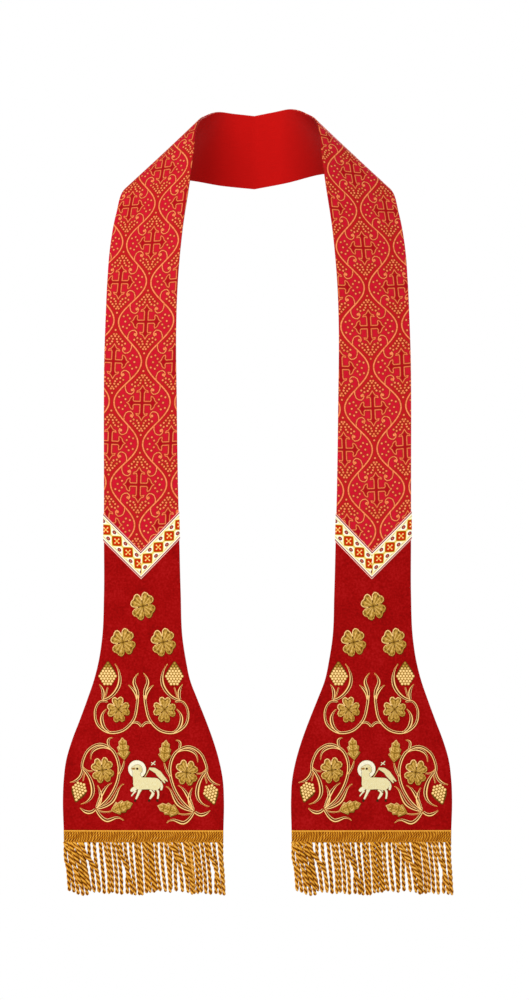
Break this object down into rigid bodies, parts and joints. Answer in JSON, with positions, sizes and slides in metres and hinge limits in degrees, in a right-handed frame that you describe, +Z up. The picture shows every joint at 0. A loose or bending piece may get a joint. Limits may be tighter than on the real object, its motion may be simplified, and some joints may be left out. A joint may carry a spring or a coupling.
{
  "type": "clerical stole",
  "caption": "Clerical stole in its worn form: two long flared bands of red cloth joined behind the neck, with raised gold embroidery, a woven V trim and gold fringe along the hems.",
  "frame": {"origin": "the middle of the neck opening, where the wearer's neck passes through and the shoulders carry the stole", "axes": "+Z up; the stole faces -Y, so both bands hang in front at negative Y; +X is to the right as seen from the front"},
  "size_m": [0.5856, 0.2349, 1.1932],
  "materials": {
    "brocade": "crimson silk brocade with orange-gold ogee lines and crosses",
    "panel_cloth": "matt deep red cloth with a short nap",
    "galloon": "woven cream and gold ribbon with orange-red squares",
    "lining": "plain red satin",
    "gold_fringe": "twisted antique gold bullion",
    "gold_thread": "padded gold satin stitch with a metallic sheen",
    "cream_thread": "cream satin stitch"
  },
  "bodies": {
    "root": {"band_left": "brocade", "band_right": "brocade", "flower_low_left_left": "gold_thread", "flower_low_left_right": "gold_thread", "flower_low_right_left": "gold_thread", "flower_low_right_right": "gold_thread", "flower_scroll_a_left": "gold_thread", "flower_scroll_a_right": "gold_thread", "flower_scroll_b_left": "gold_thread", "flower_scroll_b_right": "gold_thread", "flower_spray_a_left": "gold_thread", "flower_spray_a_right": "gold_thread", "flower_spray_b_left": "gold_thread", "flower_spray_b_right": "gold_thread", "flower_top_left": "gold_thread", "flower_top_right": "gold_thread", "fringe_left": "gold_fringe", "fringe_right": "gold_fringe", "galloon_left": "galloon", "galloon_right": "galloon", "grapes_scroll_a_left": "gold_thread", "grapes_scroll_a_right": "gold_thread", "grapes_scroll_b_left": "gold_thread", "grapes_scroll_b_right": "gold_thread", "grapes_spray_a_left": "gold_thread", "grapes_spray_a_right": "gold_thread", "grapes_spray_b_left": "gold_thread", "grapes_spray_b_right": "gold_thread", "lamb_left": "cream_thread", "lamb_right": "cream_thread", "leaf_lower_a_left": "gold_thread", "leaf_lower_a_right": "gold_thread", "leaf_lower_b_left": "gold_thread", "leaf_lower_b_right": "gold_thread", "leaf_upper_a_left": "gold_thread", "leaf_upper_a_right": "gold_thread", "leaf_upper_b_left": "gold_thread", "leaf_upper_b_right": "gold_thread", "lining_left": "lining", "lining_right": "lining", "panel_left": "panel_cloth", "panel_right": "panel_cloth", "scrolls_left": "gold_thread", "scrolls_right": "gold_thread", "spray_a_left": "gold_thread", "spray_a_right": "gold_thread", "spray_b_left": "gold_thread", "spray_b_right": "gold_thread"}
  },
  "joints": []
}
